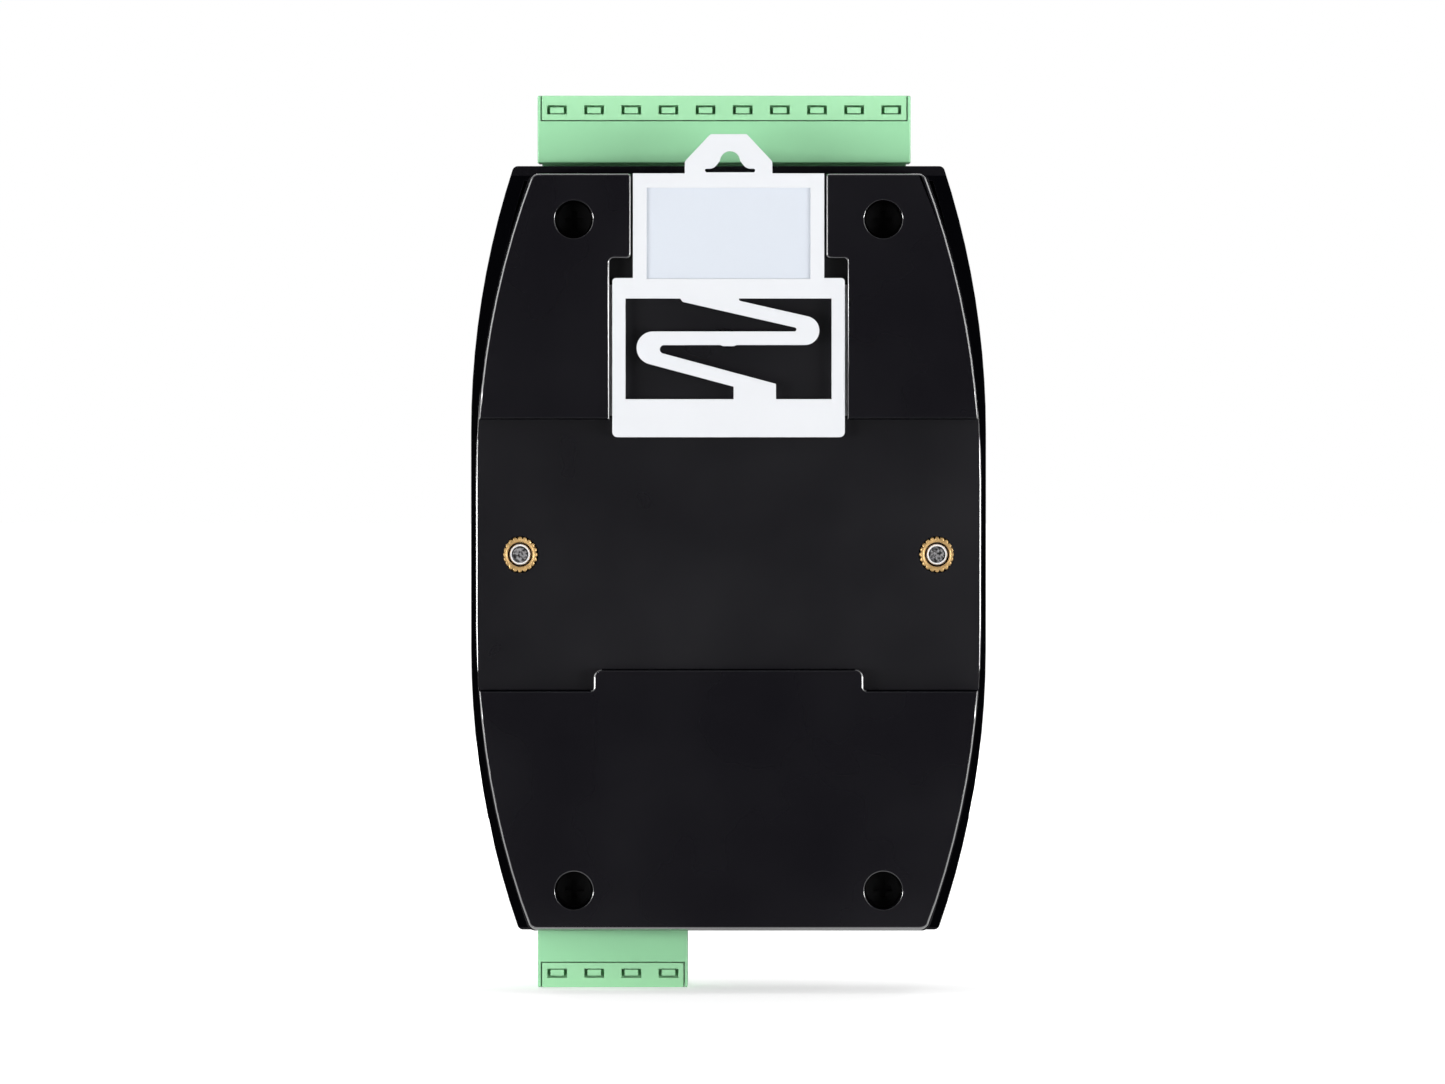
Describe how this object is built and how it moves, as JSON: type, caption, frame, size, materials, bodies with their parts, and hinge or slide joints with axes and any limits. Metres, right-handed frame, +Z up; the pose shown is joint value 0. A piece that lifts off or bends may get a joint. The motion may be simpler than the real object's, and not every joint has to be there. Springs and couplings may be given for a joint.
{
  "type": "stepper driver module",
  "caption": "Rail-mount electronics module with bulged black case, sliding white rail latch with flat Z spring and pluggable green screw terminals at both ends.",
  "frame": {"origin": "middle of the rail seat: centre line of the mounting rail on the rail's back plane, mid-width of the case", "axes": "+Z up along the case as it hangs on the rail, +X along the rail, to the right seen from behind, +Y out to the module's front"},
  "size_m": [0.0702, 0.035, 0.122],
  "materials": {
    "black_abs": "fine satin moulding",
    "white_pom": "smooth natural white",
    "green_pa": "smooth light green",
    "label_film": "bare satin film",
    "clear_lens": "clear moulding",
    "brass": "turned and knurled",
    "zinc_steel": "bright zinc plate",
    "tin_copper": "tinned",
    "black_oxide": "black oxide",
    "board_green": "solder mask",
    "chip_black": "moulded epoxy",
    "grey_gel": "soft gap pad",
    "aluminium": "extruded",
    "can_sleeve": "shrink sleeve",
    "ferrite": "pressed powder",
    "ceramic_tan": "fired"
  },
  "bodies": {
    "case": {"rear_case": "black_abs", "front_cover": "black_abs", "front_overlay": "label_film", "light_pipes": "clear_lens", "thread_inserts": "brass", "cover_screws": "zinc_steel", "board_screws": "black_oxide", "board_spacers": "brass", "circuit_board": "board_green", "header_10": "green_pa", "header_4": "green_pa", "header_pins": "tin_copper", "driver_chip": "chip_black", "thermal_pad": "grey_gel", "heat_sink": "aluminium", "sense_resistors": "chip_black", "bulk_capacitors": "can_sleeve", "power_inductor": "ferrite", "microcontroller": "chip_black", "crystal": "zinc_steel", "bus_transceiver": "chip_black", "optocouplers": "chip_black", "small_capacitors": "ceramic_tan", "indicator_leds": "clear_lens"},
    "latch": {"latch": "white_pom", "latch_spring": "white_pom"},
    "plug_10": {"plug_10_shell": "green_pa", "plug_10_cap": "green_pa", "plug_10_contacts": "tin_copper"},
    "plug_4": {"plug_4_shell": "green_pa", "plug_4_cap": "green_pa", "plug_4_contacts": "tin_copper"},
    "plug_10_screw_1": {"plug_10_screw_1": "zinc_steel"},
    "plug_10_cage_1": {"plug_10_cage_1": "zinc_steel"},
    "plug_10_screw_2": {"plug_10_screw_2": "zinc_steel"},
    "plug_10_cage_2": {"plug_10_cage_2": "zinc_steel"},
    "plug_10_screw_3": {"plug_10_screw_3": "zinc_steel"},
    "plug_10_cage_3": {"plug_10_cage_3": "zinc_steel"},
    "plug_10_screw_4": {"plug_10_screw_4": "zinc_steel"},
    "plug_10_cage_4": {"plug_10_cage_4": "zinc_steel"},
    "plug_10_screw_5": {"plug_10_screw_5": "zinc_steel"},
    "plug_10_cage_5": {"plug_10_cage_5": "zinc_steel"},
    "plug_10_screw_6": {"plug_10_screw_6": "zinc_steel"},
    "plug_10_cage_6": {"plug_10_cage_6": "zinc_steel"},
    "plug_10_screw_7": {"plug_10_screw_7": "zinc_steel"},
    "plug_10_cage_7": {"plug_10_cage_7": "zinc_steel"},
    "plug_10_screw_8": {"plug_10_screw_8": "zinc_steel"},
    "plug_10_cage_8": {"plug_10_cage_8": "zinc_steel"},
    "plug_10_screw_9": {"plug_10_screw_9": "zinc_steel"},
    "plug_10_cage_9": {"plug_10_cage_9": "zinc_steel"},
    "plug_10_screw_10": {"plug_10_screw_10": "zinc_steel"},
    "plug_10_cage_10": {"plug_10_cage_10": "zinc_steel"},
    "plug_4_screw_1": {"plug_4_screw_1": "zinc_steel"},
    "plug_4_cage_1": {"plug_4_cage_1": "zinc_steel"},
    "plug_4_screw_2": {"plug_4_screw_2": "zinc_steel"},
    "plug_4_cage_2": {"plug_4_cage_2": "zinc_steel"},
    "plug_4_screw_3": {"plug_4_screw_3": "zinc_steel"},
    "plug_4_cage_3": {"plug_4_cage_3": "zinc_steel"},
    "plug_4_screw_4": {"plug_4_screw_4": "zinc_steel"},
    "plug_4_cage_4": {"plug_4_cage_4": "zinc_steel"}
  },
  "joints": [
    {"name": "latch_slide", "type": "slide", "parent": "case", "child": "latch", "axis": [0, 0, 1], "range_m": [0, 0.0025], "stiffness_N_per_m": 1500, "springref_m": -0.001, "deforming": ["latch_spring"]},
    {"name": "plug_10_pull", "type": "slide", "parent": "case", "child": "plug_10", "axis": [0, 0, 1], "range_m": [0, 0.012]},
    {"name": "plug_4_pull", "type": "slide", "parent": "case", "child": "plug_4", "axis": [0, 0, -1], "range_m": [0, 0.012]},
    {"name": "plug_10_screw_1_turn", "type": "hinge", "parent": "plug_10", "child": "plug_10_screw_1", "pos_m": [-0.02346, 0.027, 0.0563], "axis": [0, -1, 0], "range_deg": [0, 1620]},
    {"name": "plug_10_cage_1_lift", "type": "slide", "parent": "plug_10", "child": "plug_10_cage_1", "axis": [0, 1, 0], "range_m": [0, 0.00225]},
    {"name": "plug_10_screw_2_turn", "type": "hinge", "parent": "plug_10", "child": "plug_10_screw_2", "pos_m": [-0.01838, 0.027, 0.0563], "axis": [0, -1, 0], "range_deg": [0, 1620]},
    {"name": "plug_10_cage_2_lift", "type": "slide", "parent": "plug_10", "child": "plug_10_cage_2", "axis": [0, 1, 0], "range_m": [0, 0.00225]},
    {"name": "plug_10_screw_3_turn", "type": "hinge", "parent": "plug_10", "child": "plug_10_screw_3", "pos_m": [-0.0133, 0.027, 0.0563], "axis": [0, -1, 0], "range_deg": [0, 1620]},
    {"name": "plug_10_cage_3_lift", "type": "slide", "parent": "plug_10", "child": "plug_10_cage_3", "axis": [0, 1, 0], "range_m": [0, 0.00225]},
    {"name": "plug_10_screw_4_turn", "type": "hinge", "parent": "plug_10", "child": "plug_10_screw_4", "pos_m": [-0.00822, 0.027, 0.0563], "axis": [0, -1, 0], "range_deg": [0, 1620]},
    {"name": "plug_10_cage_4_lift", "type": "slide", "parent": "plug_10", "child": "plug_10_cage_4", "axis": [0, 1, 0], "range_m": [0, 0.00225]},
    {"name": "plug_10_screw_5_turn", "type": "hinge", "parent": "plug_10", "child": "plug_10_screw_5", "pos_m": [-0.00314, 0.027, 0.0563], "axis": [0, -1, 0], "range_deg": [0, 1620]},
    {"name": "plug_10_cage_5_lift", "type": "slide", "parent": "plug_10", "child": "plug_10_cage_5", "axis": [0, 1, 0], "range_m": [0, 0.00225]},
    {"name": "plug_10_screw_6_turn", "type": "hinge", "parent": "plug_10", "child": "plug_10_screw_6", "pos_m": [0.00194, 0.027, 0.0563], "axis": [0, -1, 0], "range_deg": [0, 1620]},
    {"name": "plug_10_cage_6_lift", "type": "slide", "parent": "plug_10", "child": "plug_10_cage_6", "axis": [0, 1, 0], "range_m": [0, 0.00225]},
    {"name": "plug_10_screw_7_turn", "type": "hinge", "parent": "plug_10", "child": "plug_10_screw_7", "pos_m": [0.00702, 0.027, 0.0563], "axis": [0, -1, 0], "range_deg": [0, 1620]},
    {"name": "plug_10_cage_7_lift", "type": "slide", "parent": "plug_10", "child": "plug_10_cage_7", "axis": [0, 1, 0], "range_m": [0, 0.00225]},
    {"name": "plug_10_screw_8_turn", "type": "hinge", "parent": "plug_10", "child": "plug_10_screw_8", "pos_m": [0.0121, 0.027, 0.0563], "axis": [0, -1, 0], "range_deg": [0, 1620]},
    {"name": "plug_10_cage_8_lift", "type": "slide", "parent": "plug_10", "child": "plug_10_cage_8", "axis": [0, 1, 0], "range_m": [0, 0.00225]},
    {"name": "plug_10_screw_9_turn", "type": "hinge", "parent": "plug_10", "child": "plug_10_screw_9", "pos_m": [0.01718, 0.027, 0.0563], "axis": [0, -1, 0], "range_deg": [0, 1620]},
    {"name": "plug_10_cage_9_lift", "type": "slide", "parent": "plug_10", "child": "plug_10_cage_9", "axis": [0, 1, 0], "range_m": [0, 0.00225]},
    {"name": "plug_10_screw_10_turn", "type": "hinge", "parent": "plug_10", "child": "plug_10_screw_10", "pos_m": [0.02226, 0.027, 0.0563], "axis": [0, -1, 0], "range_deg": [0, 1620]},
    {"name": "plug_10_cage_10_lift", "type": "slide", "parent": "plug_10", "child": "plug_10_cage_10", "axis": [0, 1, 0], "range_m": [0, 0.00225]},
    {"name": "plug_4_screw_1_turn", "type": "hinge", "parent": "plug_4", "child": "plug_4_screw_1", "pos_m": [-0.02346, 0.027, -0.0533], "axis": [0, -1, 0], "range_deg": [0, 1620]},
    {"name": "plug_4_cage_1_lift", "type": "slide", "parent": "plug_4", "child": "plug_4_cage_1", "axis": [0, 1, 0], "range_m": [0, 0.00225]},
    {"name": "plug_4_screw_2_turn", "type": "hinge", "parent": "plug_4", "child": "plug_4_screw_2", "pos_m": [-0.01838, 0.027, -0.0533], "axis": [0, -1, 0], "range_deg": [0, 1620]},
    {"name": "plug_4_cage_2_lift", "type": "slide", "parent": "plug_4", "child": "plug_4_cage_2", "axis": [0, 1, 0], "range_m": [0, 0.00225]},
    {"name": "plug_4_screw_3_turn", "type": "hinge", "parent": "plug_4", "child": "plug_4_screw_3", "pos_m": [-0.0133, 0.027, -0.0533], "axis": [0, -1, 0], "range_deg": [0, 1620]},
    {"name": "plug_4_cage_3_lift", "type": "slide", "parent": "plug_4", "child": "plug_4_cage_3", "axis": [0, 1, 0], "range_m": [0, 0.00225]},
    {"name": "plug_4_screw_4_turn", "type": "hinge", "parent": "plug_4", "child": "plug_4_screw_4", "pos_m": [-0.00822, 0.027, -0.0533], "axis": [0, -1, 0], "range_deg": [0, 1620]},
    {"name": "plug_4_cage_4_lift", "type": "slide", "parent": "plug_4", "child": "plug_4_cage_4", "axis": [0, 1, 0], "range_m": [0, 0.00225]}
  ],
  "couplings": [
    {"joint": "plug_10_screw_1_turn", "follows": "plug_10_cage_1_lift", "rad_per_m": 12566},
    {"joint": "plug_10_screw_2_turn", "follows": "plug_10_cage_2_lift", "rad_per_m": 12566},
    {"joint": "plug_10_screw_3_turn", "follows": "plug_10_cage_3_lift", "rad_per_m": 12566},
    {"joint": "plug_10_screw_4_turn", "follows": "plug_10_cage_4_lift", "rad_per_m": 12566},
    {"joint": "plug_10_screw_5_turn", "follows": "plug_10_cage_5_lift", "rad_per_m": 12566},
    {"joint": "plug_10_screw_6_turn", "follows": "plug_10_cage_6_lift", "rad_per_m": 12566},
    {"joint": "plug_10_screw_7_turn", "follows": "plug_10_cage_7_lift", "rad_per_m": 12566},
    {"joint": "plug_10_screw_8_turn", "follows": "plug_10_cage_8_lift", "rad_per_m": 12566},
    {"joint": "plug_10_screw_9_turn", "follows": "plug_10_cage_9_lift", "rad_per_m": 12566},
    {"joint": "plug_10_screw_10_turn", "follows": "plug_10_cage_10_lift", "rad_per_m": 12566},
    {"joint": "plug_4_screw_1_turn", "follows": "plug_4_cage_1_lift", "rad_per_m": 12566},
    {"joint": "plug_4_screw_2_turn", "follows": "plug_4_cage_2_lift", "rad_per_m": 12566},
    {"joint": "plug_4_screw_3_turn", "follows": "plug_4_cage_3_lift", "rad_per_m": 12566},
    {"joint": "plug_4_screw_4_turn", "follows": "plug_4_cage_4_lift", "rad_per_m": 12566}
  ]
}
